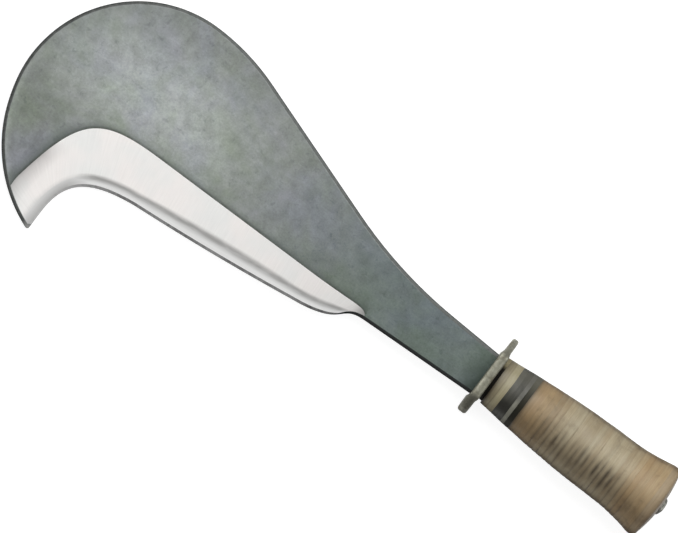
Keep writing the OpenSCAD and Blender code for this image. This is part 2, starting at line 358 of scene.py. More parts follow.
worn_angle = 360 - degrees(acos((beak_x - beak_c.x) / worn_r))
worn_tip = arc_point(beak_c, worn_r, worn_angle)
beak_turns = ceil((worn_angle - 180) / ARC_STEP)
for i in range(1, beak_turns):
    turned = (worn_angle - 180) * i / beak_turns
    wear = BEAK_WEAR * ease(min(1.0, turned / BEAK_WEAR_TURN))
    back_path.append(arc_point(beak_c, BEAK_R - wear, 180 + turned))
back_path += blend(back_path[-1], worn_tip, throat_b, TIP_ROUND)
tip_top = back_path[-1].y + TIP_CLEAR_Y
cut_path = [p for p in reversed(edge_line) if p.y > tip_top or p.x > beak_x + TIP_CLEAR_X]
belly_path = straight(heel_a, neck_foot, BELLY_STEPS)
outline = back_path + cut_path + belly_path[1:]
OUTLINE = table(outline)

# Ground faces, between the edge and the bevel line
EDGE = table(edge_line)
BEVEL = table(bevel_line)
ALONG = np.concatenate([[0.0], np.cumsum(np.linalg.norm(np.diff(EDGE, axis=0), axis=1))])
EDGE_SLACK = 1.0
BORDER_REACH = 12.0
Ground = namedtuple("Ground", "inside width z along honed")


def cross(a, b):
    return a[..., 0] * b[..., 1] - a[..., 1] * b[..., 0]


def honed_width(x, w):
    """Width of the narrow bevel at x on the edge, where the whole bevel is w wide."""
    t = clamp((heel_b.x - x) / (heel_b.x - throat_a.x))
    return min(HONED_W + HONED_BELLY * 4 * t * (1 - t), w * HONED_SHARE)


def ground(p):
    """How p lies on the bevel, with the bevel's sizes there, or None where no bevel is near."""
    p = np.array(tuple(p))
    side = cross(BEVEL - EDGE, p - EDGE)
    best = None
    for i in np.nonzero(side[:-1] * side[1:] <= 0)[0]:
        span = side[i] - side[i + 1]
        t = side[i] / span if abs(span) > TINY else 0.0
        e = EDGE[i] + t * (EDGE[i + 1] - EDGE[i])
        b = BEVEL[i] + t * (BEVEL[i + 1] - BEVEL[i])
        w = np.linalg.norm(b - e)
        s = float(np.dot(p - e, b - e) / w)
        nearer = best is None or abs(s - w / 2) < abs(best[0] - best[1] / 2)
        if -EDGE_SLACK <= s <= w + BORDER_REACH and nearer:
            along = float(ALONG[i] + t * (ALONG[i + 1] - ALONG[i]))
            best = (s, w, along, half_t(b[0]), honed_width(e[0], w))
    if best is None:
        return None
    s, w, along, h, honed = best
    edge_z = max(EDGE_HALF_T, h - w * tand(RUNOUT_ANGLE))
    honed_z = edge_z + max(honed * tand(HONED_ANGLE), (h - edge_z) * honed / w)
    inside = max(0.0, s)
    if inside <= honed:
        z = edge_z + (honed_z - edge_z) * inside / honed
    else:
        z = honed_z + (h - honed_z) * (inside - honed) / (w - honed)
    return Ground(s, w, z, along, honed)


# Thick rim: the back, the neck's lower side and the first part of the heel, where it fades out
rim_heel = bezier(heel_curve, CURVE_STEPS)[: int(CURVE_STEPS * RIM_FADE_SHARE) + 1]
RIM_PARTS = [
    [(p, 1.0) for p in back_path],
    [(p, 1.0 - i / (len(rim_heel) - 1)) for i, p in reversed(list(enumerate(rim_heel)))]
    + [(p, 1.0) for p in belly_path[1:]],
]
RIM_STEPS = [step for part in RIM_PARTS for step in zip(part, part[1:])]
RIM_A = table(a for (a, _), _ in RIM_STEPS)
RIM_AB = table(b for _, (b, _) in RIM_STEPS) - RIM_A
RIM_WEIGHTS = np.array([(wa, wb) for (_, wa), (_, wb) in RIM_STEPS])
RIM_LEAST = 1e-6


def rim_place(p):
    """Distance from the rim as a share of its rounding, 1 or more on the flat, and the rim's weight."""
    p = np.array(tuple(p))
    t = np.clip(((p - RIM_A) * RIM_AB).sum(1) / (RIM_AB ** 2).sum(1), 0, 1)
    near = np.linalg.norm(RIM_A + t[:, None] * RIM_AB - p, axis=1)
    i = int(np.argmin(near))
    first, last = RIM_WEIGHTS[i]
    weight = first + t[i] * (last - first)
    return near[i] / max(RIM_W * weight, RIM_LEAST), weight


def offset_path(path, distances):
    """The points of a path moved to its left, each by its own distance."""
    moved = []
    for i, p in enumerate(path):
        t = (path[min(len(path) - 1, i + 1)] - path[max(0, i - 1)]).normalized()
        moved.append(p + point(-t.y, t.x) * distances[i])
    return moved


def inside_outline(p):
    a, b = OUTLINE, np.roll(OUTLINE, -1, axis=0)
    crosses = (a[:, 1] > p[1]) != (b[:, 1] > p[1])
    with np.errstate(divide="ignore", invalid="ignore"):
        x = a[:, 0] + (p[1] - a[:, 1]) * (b[:, 0] - a[:, 0]) / (b[:, 1] - a[:, 1])
    return bool(np.count_nonzero(crosses & (p[0] < x)) % 2)


# Materials of the blade's faces, in the order of the piece's material slots
FLAT, GROUND, HONED, MICRO, RIM, TANG = range(6)

# Least width of the bevel that has each finish, and that has the lines in between
MICRO_LEAST = 3.5
HONED_LEAST = 4.0
BORDER_LEAST = 3.0
LINES_LEAST = 6.0

# Lines that follow the edge: distance in honed widths, bevel widths and millimetres, and the least bevel
EDGE_LINES = (
    (0, 1.0, 0.0, 0.0),
    (0, 0.0, MICRO_W, MICRO_LEAST),
    (1, 0.0, 0.0, HONED_LEAST),
    (1, 0.06, 0.0, LINES_LEAST),
    (1, 0.2, 0.0, LINES_LEAST),
    (0, 0.6, 0.0, LINES_LEAST),
    (0, 0.82, 0.0, LINES_LEAST),
    (0, 1.0, 1.3, BORDER_LEAST),
    (0, 1.0, 4.0, LINES_LEAST),
)
RIM_LINES = (0.2, 0.5, 1.0)
RIM_LINE_LEAST = 0.12


def blade_plan():
    """Points and triangles of one face of the blade, seen from above, with its rim and bevel lines."""
    points, edges = [], []

    def line(path, closed=False):
        first, count = len(points), len(path)
        points.extend(path)
        edges.extend((first + i, first + i + 1) for i in range(count - 1))
        if closed:
            edges.append((first + count - 1, first))

    line(outline, closed=True)
    for share in RIM_LINES:
        for part in RIM_PARTS:
            widths = [share * RIM_W * weight for _, weight in part]
            moved = offset_path([p for p, _ in part], widths)
            line([p for p, w in zip(moved, widths) if w > RIM_LINE_LEAST])
    for in_honed, in_bevel, extra, least in EDGE_LINES:
        path = []
        for e, b in zip(edge_line, bevel_line):
            w = (b - e).length
            if w >= least:
                distance = in_honed * honed_width(e.x, w) + in_bevel * w + extra
                path.append(e + (b - e) / w * distance)
        line(path)
    taken = table(points)
    low, high = OUTLINE.min(0), OUTLINE.max(0)
    row = 0
    y = low[1]
    while y < high[1]:
        x = low[0] + (row % 2) * GRID_STEP / 2
        while x < high[0]:
            p = np.array((x, y))
            if inside_outline(p) and np.min(np.linalg.norm(taken - p, axis=1)) > GRID_STEP / 2:
                points.append(point(x, y))
            x += GRID_STEP
        y += GRID_STEP * sind(60)
        row += 1
    found, _, faces, _, _, _ = delaunay_2d_cdt(points, edges, [], 0, MERGE)
    return found, [list(f) for f in faces if inside_outline(middle_of([found[i] for i in f]))]


# Facts of the blade's points; FAR stands for a place that no bevel is near
Fact = namedtuple("Fact", "z rim_share edge_mm past_mm along honed_share")
FAR = 99.0
RIM_FAR = 2.0
WALL_LEAST = 1.0


def blade_fact(p):
    g = ground(p)
    flat_z = half_t(p.x)
    z = flat_z if g is None or g.inside >= g.width else min(flat_z, g.z)
    rim_share, weight = rim_place(p)
    if rim_share < 1.0:
        bow = 1.0 - sqrt(max(0.0, 1.0 - (1.0 - rim_share) ** 2))
        z -= min(RIM_DROP * weight, z / 2) * bow
    if g is None:
        return Fact(z, rim_share, FAR, FAR, 0.0, FAR)
    edge_mm = g.inside if g.inside <= g.width else FAR
    past_mm = g.inside - g.width if g.width > BORDER_LEAST else FAR
    honed_share = edge_mm / g.honed if edge_mm < FAR else FAR
    return Fact(z, rim_share, edge_mm, past_mm, g.along, honed_share)


def face_kind(p):
    g = ground(p)
    if rim_place(p)[0] < 1.0:
        return RIM
    if g is None or g.inside >= g.width:
        return FLAT
    if g.inside < MICRO_W and g.width >= MICRO_LEAST:
        return MICRO
    if g.inside < g.honed and g.width >= HONED_LEAST:
        return HONED
    return GROUND


def blade_mesh():
    """Both faces of the blade and the wall between them, with each face's kind and each point's facts."""
    plan, faces = blade_plan()
    used = sorted({i for f in faces for i in f})
    number = {i: k for k, i in enumerate(used)}
    plan = [plan[i] for i in used]
    faces = [[number[i] for i in f] for f in faces]
    facts = [blade_fact(p) for p in plan]
    count = len(plan)
    verts = []
    for side in (MM, -MM):
        verts += [(p.x * MM, p.y * MM, f.z * side) for p, f in zip(plan, facts)]
    kinds = 2 * [face_kind(middle_of([plan[i] for i in f])) for f in faces]
    all_faces = [tuple(f) for f in faces] + [tuple(count + i for i in reversed(f)) for f in faces]
    sides = dict.fromkeys((a, b) for f in faces for a, b in zip(f, f[1:] + f[:1]))
    for a, b in sides:
        if (b, a) not in sides:
            all_faces.append((b, a, count + a, count + b))
            kinds.append(RIM if facts[a].z + facts[b].z > WALL_LEAST else MICRO)
    return verts, all_faces, kinds, facts + facts


# Pieces
def new_object(name, verts, faces, materials, kinds=None, sharp_angle=None):
    mesh = bpy.data.meshes.new(name)
    mesh.from_pydata(verts, [], faces)
    for m in materials:
        mesh.materials.append(m)
    if kinds is not None:
        mesh.polygons.foreach_set("material_index", kinds)
    mesh.polygons.foreach_set("use_smooth", [True] * len(mesh.polygons))
    if sharp_angle is not None:
        mesh.set_sharp_from_angle(angle=radians(sharp_angle))
    mesh.update()
    obj = bpy.data.objects.new(name, mesh)
    bpy.context.scene.collection.objects.link(obj)
    return obj


def give_values(obj, name, values):
    layer = obj.data.attributes.new(name=name, type="FLOAT", domain="POINT")
    layer.data.foreach_set("value", [float(v) for v in values])


def part_of(obj, node, slot):
    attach(obj, ROOT)
    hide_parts(node)


# Shader nodes
NOISE_SPAN = (0.3, 0.7)


def feed(socket, value):
    if isinstance(value, bpy.types.NodeSocket):
        socket.id_data.links.new(value, socket)
    elif isinstance(value, tuple) and len(value) == 3 and socket.type == "RGBA":
        socket.default_value = (*value, 1.0)
    else:
        socket.default_value = value


def new_node(kind, output, inputs, tree=None, **settings):
    """Output of a new node, in the given tree or in that of the first socket among its inputs."""
    if tree is None:
        tree = next(v.id_data for v in inputs.values() if isinstance(v, bpy.types.NodeSocket))
    made = tree.nodes.new(kind)
    for key, value in settings.items():
        setattr(made, key, value)
    for key, value in inputs.items():
        feed(made.inputs[key], value)
    return made.outputs[output]


def mapped(vector, scale):
    return new_node("ShaderNodeMapping", "Vector", {"Vector": vector, "Scale": scale})


def place(tree, scale=(1.0, 1.0, 1.0)):
    return mapped(new_node("ShaderNodeTexCoord", "Object", {}, tree), scale)


def uv_place(tree, scale):
    return mapped(new_node("ShaderNodeUVMap", "UV", {}, tree, uv_map="UVMap"), scale)


def value_of(tree, name):
    return new_node("ShaderNodeAttribute", "Fac", {}, tree, attribute_name=name)


def part_along(axis, vector):
    return new_node("ShaderNodeSeparateXYZ", axis, {"Vector": vector})


def xy_place(tree):
    """Places along the tang's axis and across the blade, in millimetres."""
    here = place(tree, (1 / MM,) * 3)
    return part_along("X", here), part_along("Y", here)


def distance_from(tree, at, stretch=(1.0, 1.0, 1.0)):
    """Distance from a point in millimetres, after the stretch."""
    here = place(tree, tuple(s / MM for s in stretch))
    there = tuple(a * s for a, s in zip(at, stretch))
    return new_node("ShaderNodeVectorMath", "Value", {0: here, 1: there}, operation="DISTANCE")


def cloud(vector, scale, detail=3.0, roughness=0.5, distortion=0.0):
    numbers = {"Scale": scale, "Detail": detail, "Roughness": roughness, "Distortion": distortion}
    return new_node("ShaderNodeTexNoise", "Fac", {"Vector": vector, **numbers})


def spread(value, run=NOISE_SPAN, to=(0.0, 1.0), smooth=False):
    """The run's ends become the two numbers of to, and what lies past an end stays at it."""
    inputs = {"Value": value, "From Min": run[0], "From Max": run[1], "To Min": to[0], "To Max": to[1]}
    curve = "SMOOTHSTEP" if smooth else "LINEAR"
    return new_node("ShaderNodeMapRange", "Result", inputs, clamp=True, interpolation_type=curve)


def reckon(operation, a, b):
    return new_node("ShaderNodeMath", "Value", {0: a, 1: b}, operation=operation)


def product(first, *others):
    for value in others:
        first = reckon("MULTIPLY", first, value)
    return first


def mix(factor, a, b, kind="MIX"):
    inputs = {"Factor": factor, 6: a, 7: b}
    return new_node("ShaderNodeMix", 2, inputs, data_type="RGBA", blend_type=kind)


def multiplied(tint, gain):
    return mix(1.0, tint, gain, "MULTIPLY")


def ramp(value, *stops):
    """Colours at places of the value; a plain number stands for a grey."""
    made = new_node("ShaderNodeValToRGB", "Color", {"Fac": value})
    elements = made.node.color_ramp.elements
    while len(elements) < len(stops):
        elements.new(0.5)
    for element, (position, colour) in zip(elements, stops):
        element.position = position
        element.color = (*(colour if isinstance(colour, tuple) else (colour,) * 3), 1.0)
    return made


def varied(tint, value, low, high, span=NOISE_SPAN):
    return multiplied(tint, ramp(value, (span[0], low), (span[1], high)))


def bump(height, strength, distance, below=None):
    inputs = {"Strength": strength, "Distance": distance * MM, "Height": height}
    if below is not None:
        inputs["Normal"] = below
    return new_node("ShaderNodeBump", "Normal", inputs)


def new_material(name):
    made = bpy.data.materials.new(name)
    made.use_nodes = True
    return made, made.node_tree


def dress(made, metallic, colour, roughness, normal=None, specular=0.5):
    """Feeds the sockets of the material's shader."""
    sockets = made.node_tree.nodes["Principled BSDF"].inputs
    feed(sockets["Metallic"], metallic)
    feed(sockets["Base Color"], colour)
    feed(sockets["Roughness"], roughness)
    feed(sockets["Specular IOR Level"], specular)
    if normal is not None:
        feed(sockets["Normal"], normal)
    return made


def share_of(colour, gain):
    return tuple(gain * c for c in colour)


# Steel of the flats: runs along and across the blade, gains and colours
FLAT_TINTS = ((0.33, (0.288, 0.320, 0.274)), (0.5, (0.320, 0.342, 0.328)), (0.66, (0.322, 0.340, 0.362)))
# Painted highlight and painted shade, partly wear and age: the head paler in the middle, the neck darker
HEAD_MIDDLE = (-228.0, 8.0, 0.0)
HEAD_STRETCH = (0.75, 1.5, 1.0)
HEAD_RUN = (10.0, 75.0)
HEAD_WEAR_AND_HIGHLIGHT_GAINS = (1.05, 0.68)
AGED_AND_SHADED_X = (-170.0, -45.0)
AGED_AND_SHADED_GAIN = (0.61, 0.69, 0.665)
# Painted shadow on the flat beside the guard, greenish and darkest towards the lower side
GUARD_SIDE_SHADOW_X = (-12.0, -1.0)
GUARD_SIDE_SHADOW_Y = (12.0, -10.0)
GUARD_SIDE_SHADOW = (0.035, 0.05, 0.042)
# Painted shade along the bevel's crease: runs, amounts and colours
BEVEL_SHADE_BORDERS = (
    ((0.0, 11.0), 0.5, (0.1, 0.12, 0.1)),
    ((0.0, 5.0), 0.42, (0.075, 0.092, 0.078)),
    ((0.2, 2.2), 0.8, (0.055, 0.06, 0.052)),
)
# Painted highlight: a pale strip just inside the beak's back
STRIP_R = (75.5, 79.5)
STRIP_X = (-250.0, -272.0)
STRIP_Y = (beak_c.y - 1.0, beak_c.y - 15.0)
STRIP_HIGHLIGHT_GAIN = (1.35, 1.35, 1.35)


# Rolled and tempered: paler in the middle of the head and dark at the neck, partly from wear and age and
# partly as a painted highlight and a painted shade, and dark beside the bevel from a painted shade along its
# crease
def flat_steel():
    made, tree = new_material("blade_flat_steel")
    tint = ramp(cloud(place(tree), 19, 4, 0.6, 0.6), *FLAT_TINTS)
    mottle = cloud(place(tree), 150, 5, 0.62, 0.3)
    tint = varied(tint, mottle, 0.87, 1.12)
    patch = cloud(place(tree), 42, 3, 0.55, 0.8)
    tint = varied(tint, patch, (0.92, 0.95, 0.905), (1.06, 1.045, 1.085), (0.32, 0.68))
    specks = cloud(place(tree), 330, 3, 0.6, 0.4)
    tint = varied(tint, specks, 1.0, (0.8, 0.81, 0.82), (0.58, 0.72))
    rolled = cloud(place(tree, (60, 700, 700)), 1, 3, 0.6)
    tint = varied(tint, rolled, 0.98, 1.02, (0.35, 0.65))
    pits = cloud(place(tree), 900, 2, 0.6)
    tint = varied(tint, pits, 0.92, 1.08)
    # Paler in the middle of the head and darker towards the neck: partly wear and age, partly a painted
    # highlight and a painted shade
    away = distance_from(tree, HEAD_MIDDLE, HEAD_STRETCH)
    tint = multiplied(tint, spread(away, HEAD_RUN, HEAD_WEAR_AND_HIGHLIGHT_GAINS, smooth=True))
    x, y = xy_place(tree)
    tint = mix(spread(x, AGED_AND_SHADED_X, smooth=True), tint, multiplied(tint, AGED_AND_SHADED_GAIN))
    # Painted shadow beside the guard, darkest towards the lower side
    tint = mix(product(spread(x, GUARD_SIDE_SHADOW_X), spread(y, GUARD_SIDE_SHADOW_Y, (0.3, 0.85))), tint, GUARD_SIDE_SHADOW)
    # The bevel's dark border, a painted shade along its crease: a wide one on the beak's side, one all along
    # and a narrow, broken one
    past = value_of(tree, "past_mm")
    beak_side = reckon("SUBTRACT", 1.0, value_of(tree, "line_strength"))
    broken = spread(mottle, (0.35, 0.6), (0.35, 1.0))
    for share, (run, amount, border) in zip((beak_side, None, broken), BEVEL_SHADE_BORDERS):
        dark = spread(past, run, (amount, 0.0), smooth=True)
        tint = mix(dark if share is None else product(dark, share), tint, border)
    # Painted highlight on a strip just inside the beak's back
    outer = distance_from(tree, (beak_c.x, beak_c.y, 0.0))
    highlight_strip = product(spread(outer, STRIP_R, smooth=True), spread(x, STRIP_X), spread(y, STRIP_Y))
    tint = mix(highlight_strip, tint, multiplied(tint, STRIP_HIGHLIGHT_GAIN))
    lower = bump(rolled, 0.05, 0.2, bump(mottle, 0.1, 0.6))
    return dress(made, 0.85, tint, spread(mottle, to=(0.5, 0.42)), bump(pits, 0.08, 0.2, lower))


# Grey band, a painted shade where the honing meets the ground bevel, which widens to the whole honed face on
# the beak
HONING_SHADE_GREY = (0.4, 0.395, 0.385)


def honing_shade(tint):
    tree = tint.id_data
    share = value_of(tree, "honed_share")
    rise = spread(share, (0.42, 1.0), smooth=True)
    fall = spread(share, (1.02, 1.4), (1.0, 0.0), smooth=True)
    patchy = spread(cloud(uv_place(tree, (90, 500, 1)), 1, 3, 0.6), (0.3, 0.6), (0.72, 1.0))
    band = product(rise, fall, patchy, value_of(tree, "band_strength"))
    beak = product(value_of(tree, "beak_strength"), spread(share, (0.0, 1.4), (0.95, 0.0)))
    return mix(reckon("MAXIMUM", band, beak), tint, HONING_SHADE_GREY)


# Ground bevel: dull at the end of the heel, and darker towards the beak's flat, a painted shade beside the
# crease, by the stops of the fade
HEEL_DULL = (0.2, 0.21, 0.2)
HEEL_DULL_X = (-80.0, -70.0)
BEAK_SHADE_FADE = ((0.0, 1.0), (0.25, 0.97), (0.5, 0.85), (0.85, 0.65), (1.0, 0.5))
BEAK_SHADE_FADE_RUN = (-13.0, 0.0)
BEAK_SHADE_FADE_Y = (-38.0, -50.0)


def ground_steel():
    made, tree = new_material("blade_ground_steel")
    across = cloud(uv_place(tree, (1400, 55, 1)), 1, 3, 0.6)
    warm = cloud(place(tree), 45, 2, 0.5)
    tint = ramp(warm, (0.36, (0.93, 0.93, 0.91)), (0.62, (0.985, 0.95, 0.925)))
    tint = varied(tint, across, 0.96, 1.03)
    x, y = xy_place(tree)
    tint = mix(spread(x, HEEL_DULL_X, (0.0, 0.8), smooth=True), tint, HEEL_DULL)
    near = spread(value_of(tree, "past_mm"), BEAK_SHADE_FADE_RUN)
    tint = mix(spread(y, BEAK_SHADE_FADE_Y), tint, multiplied(tint, ramp(near, *BEAK_SHADE_FADE)))
    return dress(made, 0.25, honing_shade(tint), spread(across, to=(0.32, 0.42)), bump(across, 0.07, 0.2))


def honed_steel():
    made, tree = new_material("blade_honed_steel")
    along = cloud(uv_place(tree, (60, 1500, 1)), 1, 3, 0.6)
    tint = ramp(along, (0.3, (0.95, 0.95, 0.94)), (0.7, (0.99, 0.99, 0.98)))
    return dress(made, 0.28, honing_shade(tint), spread(along, to=(0.3, 0.38)), bump(along, 0.02, 0.1))


# Micro bevel on the cutting edge, dark along the blade as a painted dark reflection, and bright on the beak
EDGE_BRIGHT = (0.56, 0.56, 0.555)


def micro_steel():
    made, tree = new_material("blade_edge_steel")
    nicks = cloud(place(tree), 500, 3, 0.6)
    wear = reckon("ADD", nicks, cloud(place(tree), 30, 2, 0.5))
    # Painted dark reflection along the edge, broken by nicks
    dark = ramp(spread(wear, (0.7, 1.4)), (0.0, 0.12), (1.0, (0.42, 0.42, 0.415)))
    tint = mix(value_of(tree, "line_strength"), EDGE_BRIGHT, dark)
    return dress(made, 0.9, tint, spread(nicks, to=(0.35, 0.5)))


# Thick rim: dark scale that also stands as a painted dark outline, paler towards the flat from wear and a
# painted highlight, black on the neck's lower side and bright at the tip
RIM_DARK = ((0.3, (0.06, 0.065, 0.062)), (0.75, (0.14, 0.146, 0.14)))
RIM_BRIGHT = ((0.35, (0.17, 0.185, 0.178)), (0.7, (0.36, 0.375, 0.365)))
RIM_BLACK = (0.03, 0.033, 0.032)
RIM_WEAR_AND_HIGHLIGHT = (0.78, 0.98)
RIM_LOWER_X = (-105.0, -90.0)
RIM_LOWER_Y = (-4.0, -10.0)
RIM_NECK_X = (-80.0, -45.0)
TIP_RUN = (1.0, 6.0)
TIP_TINT = (0.42, 0.42, 0.41)


def rim_steel():
    made, tree = new_material("blade_rim_steel")
    scale = cloud(place(tree), 380, 4, 0.65)
    x, y = xy_place(tree)
    lower = product(spread(x, RIM_LOWER_X), spread(y, RIM_LOWER_Y))
    # Paler towards the flat: wear and a painted highlight
    worn = product(
        spread(value_of(tree, "rim_share"), RIM_WEAR_AND_HIGHLIGHT, smooth=True),
        spread(lower, (0.0, 1.0), (1.0, 0.15)),
        spread(x, RIM_NECK_X, (1.0, 0.1)),
    )
    dark = mix(lower, ramp(scale, *RIM_DARK), RIM_BLACK)
    near_tip = distance_from(tree, (worn_tip.x, worn_tip.y, 0.0))
    dark = mix(spread(near_tip, TIP_RUN, (0.8, 0.0)), dark, TIP_TINT)
    tint = mix(worn, dark, ramp(scale, *RIM_BRIGHT))
    return dress(made, 0.7, tint, spread(scale, to=(0.42, 0.58)), bump(scale, 0.2, 0.3))


# Struck steel: colours low, high and of the rust, and how much painted shade darkens it from its lower side
# to its upper side
PEEN_TINTS = ((0.13, 0.13, 0.11), (0.62, 0.62, 0.55), (0.05, 0.04, 0.028))
WASHER_TINTS = ((0.1, 0.095, 0.08), (0.28, 0.27, 0.235), (0.05, 0.038, 0.025))
GUARD_TINTS = ((0.21, 0.205, 0.155), (0.4, 0.395, 0.32), (0.15, 0.12, 0.075))
PEEN_SHADE = ((0.0, 0.9), (0.25, 0.75), (0.4, 0.1), (0.75, 0.0), (0.9, 0.6), (1.0, 0.8))
GUARD_SHADE = (
    (0.0, 0.6), (0.1, 0.78), (0.2, 0.66), (0.26, 0.08), (0.5, 0.0),
    (0.77, 0.12), (0.81, 0.5), (0.9, 0.3), (1.0, 0.15),
)
# Brighter near the guard's front edge, from wear and a painted highlight
GUARD_EDGE_WEAR_AND_HIGHLIGHT = ((0.0, 1.2), (0.22, 1.22), (0.42, 0.9), (0.56, 0.84), (0.76, 1.0), (0.96, 0.9))
SHADE_SHARE = 0.25


def struck_steel(name, tints, reach, stops, edges=None):
    """Hammered and worn steel, darkened across the blade by painted shade, by the stops between -reach and
    +reach.
    """
    made, tree = new_material(name)
    low, high, rust = tints
    dents = cloud(place(tree), 420, 4, 0.6, 0.3)
    fine = cloud(place(tree), 1800, 2, 0.6)
    stain = cloud(place(tree), 150, 3, 0.55)
    tint = ramp(dents, (0.3, low), (0.68, high))
    tint = mix(spread(stain, (0.52, 0.72), (0.0, 0.75), smooth=True), tint, rust)
    x, y = xy_place(tree)
    tint = mix(ramp(spread(y, (-reach, reach)), *stops), tint, share_of(low, SHADE_SHARE))
    # Guard: brighter near its front edge, wear and a painted highlight
    if edges:
        tint = multiplied(tint, ramp(spread(x, (0.0, GUARD_T)), *edges))
    normal = bump(fine, 0.12, 0.1, bump(dents, 0.3, 0.5))
    return dress(made, 0.7, tint, spread(stain, (0.35, 0.7), (0.5, 0.7)), normal)


# Leather colours
TAN = (0.34, 0.30, 0.185)
TAN_PALE = (0.42, 0.38, 0.25)
DARK = (0.066, 0.064, 0.048)
DARK_PALE = (0.1, 0.098, 0.078)
SPACER = (0.24, 0.235, 0.19)
SPACER_PALE = (0.31, 0.305, 0.25)
SPACER_FILM = (0.092, 0.09, 0.074)
BLACK = (0.011, 0.01, 0.005)
BLACK_PALE = (0.03, 0.028, 0.015)
DUST = (0.17, 0.165, 0.13)
WARM = (0.375, 0.25, 0.12)
WARM_PALE = (0.45, 0.325, 0.17)
GREY = (0.38, 0.31, 0.192)
GREY_PALE = (0.47, 0.405, 0.27)
BUTT = (0.35, 0.255, 0.145)
BUTT_PALE = (0.40, 0.31, 0.195)
GREASE = (0.075, 0.048, 0.023)
SMOKE = (0.014, 0.013, 0.008)
DIRT_AND_SHADE_SHARE = 0.4

# How much grime and painted shade lie on a piece, with painted shade at both silhouettes and on the lower
# side, and how much it shines, from its lower side to its upper side
SIDES = (-1.0, 1.0)
GRIME_AND_SHADE = (
    (0.0, 1.7), (0.03, 1.2), (0.055, 0.6), (0.1, 0.65), (0.18, 1.1), (0.27, 1.1), (0.38, 0.6),
    (0.6, 0.0), (0.78, 0.05), (0.9, 0.2), (0.945, 0.45), (0.97, 1.1), (1.0, 1.6),
)
SHINE = ((0.0, 0.0), (0.03, 0.06), (0.1, 0.42), (0.2, 0.5), (0.88, 0.5), (0.96, 0.15), (1.0, 0.0))


# Edge of a leather disc: fibres run round the grip, hand grease and painted shade darken it, and the seams
# hold dirt and painted shade
def leather(name, base, pale, dark, roughness=0.44, grime_and_shade=0.5, dust=0.0, shine=1.0, film=None):
    made, tree = new_material(name)
    fibres = cloud(place(tree, (1300, 110, 110)), 1, 4, 0.65, 0.3)
    bands = cloud(place(tree, (330, 22, 22)), 1, 3, 0.6)
    blotch = cloud(place(tree), 95, 4, 0.6, 0.5)
    grain = cloud(place(tree), 1300, 3, 0.6)
    tint = mix(spread(bands, (0.35, 0.68)), base, pale)
    tint = varied(tint, fibres, (0.88, 0.87, 0.85), 1.08)
    tint = mix(spread(blotch, (0.52, 0.78), (0.0, 0.35), smooth=True), tint, dark)
    side = value_of(tree, "side")
    # Grime and painted shade, by the side of the piece
    soil_and_shade = ramp(spread(side, SIDES), *[(at, grime_and_shade * share) for at, share in GRIME_AND_SHADE])
    tint = mix(product(soil_and_shade, spread(blotch, (0.3, 0.65), (0.75, 1.15))), tint, dark)
    if dust > 0:
        tint = mix(spread(side, (0.2, 0.8), (0.0, dust), smooth=True), tint, DUST)
    if film is not None:
        tint = mix(spread(side, (-0.3, 0.1), (0.0, 0.9), smooth=True), tint, film)
    # Dirt and painted shade in the seams and streaks, stronger on the lower side
    streak = product(value_of(tree, "streak"), spread(fibres, to=(0.65, 1.0)))
    seam = product(value_of(tree, "seam"), spread(blotch, to=(0.5, 0.9)))
    seam = product(seam, spread(side, (-0.3, 0.4), (1.0, 0.5)))
    for dirt_and_shade in (streak, seam):
        tint = mix(dirt_and_shade, tint, share_of(dark, DIRT_AND_SHADE_SHARE))
    rough = spread(blotch, to=(roughness - 0.06, roughness + 0.12))
    normal = bump(grain, 0.12, 0.2, bump(fibres, 0.25, 0.4))
    gloss = ramp(spread(side, SIDES), *[(at, shine * share) for at, share in SHINE])
    return dress(made, 0.0, tint, rough, normal, gloss)


# Black fibre, which the first tan disc's dust covers on the upper side
FIBRE_TINTS = ((0.3, (0.003, 0.0025, 0.0015)), (0.7, (0.012, 0.01, 0.006)))
FIBRE_DUST_SIDE = (0.5, 0.78)


def fibre_black():
    made, tree = new_material("fibre_black")
    grain = cloud(place(tree), 800, 4, 0.6)
    dust = spread(value_of(tree, "side"), FIBRE_DUST_SIDE, smooth=True)
    dust = product(dust, spread(grain, (0.3, 0.6), (0.7, 1.0)))
    tint = mix(dust, ramp(grain, *FIBRE_TINTS), TAN)
    return dress(made, 0.0, tint, spread(grain, to=(0.7, 0.9)), bump(grain, 0.2, 0.3), 0.2)


# Places of the pieces along the tang's axis
def leather_t(i):
    return LEATHER_T + LEATHER_VARY * sind(VARY_TURN * i)


leather_x = GUARD_T + FIBRE_T + TAN_COUNT * TAN_T + DARK_COUNT * DARK_T + SPACER_T + BAND_T
butt_x = leather_x + sum(leather_t(i) for i in range(LEATHER_COUNT))
butt_end = butt_x + BUTT_T
flare_x = butt_x - FLARE_LEN
peen_x = butt_end - BUTT_WASHER_SINK
washer_x = peen_x - BUTT_WASHER_T
slot_w = TANG_W + 2 * SLOT_FIT
slot_t = TANG_T + 2 * SLOT_FIT
peen_d = hypot(slot_w, slot_t) + 2 * PEEN_LAP
washer_r = peen_d / 2 + BUTT_WASHER_RIM


def round_noise(t, scale, level):
    """Noise at the turn t round the tang's axis, on a circle whose radius is the scale."""
    return noise.noise(Vector((scale * cos(t), scale * sin(t), level)))


# Blade: shares of the heel's and the throat's curve over which the lines on the bevel come and go
BAND_START = (0.35, 0.6)
BAND_END = (0.4, 0.65)
LINE_END = (0.2, 0.7)
LINE_LOSS = 0.85

# Peened head, slightly mushroomed over the washer: shares of its radius and height
PEEN_LEVELS = (
    (0.86, 0.0), (1.0, 0.1), (1.03, 0.26), (0.97, 0.46),
    (0.84, 0.68), (0.62, 0.86), (0.36, 0.96), (0.14, 1.0),
)


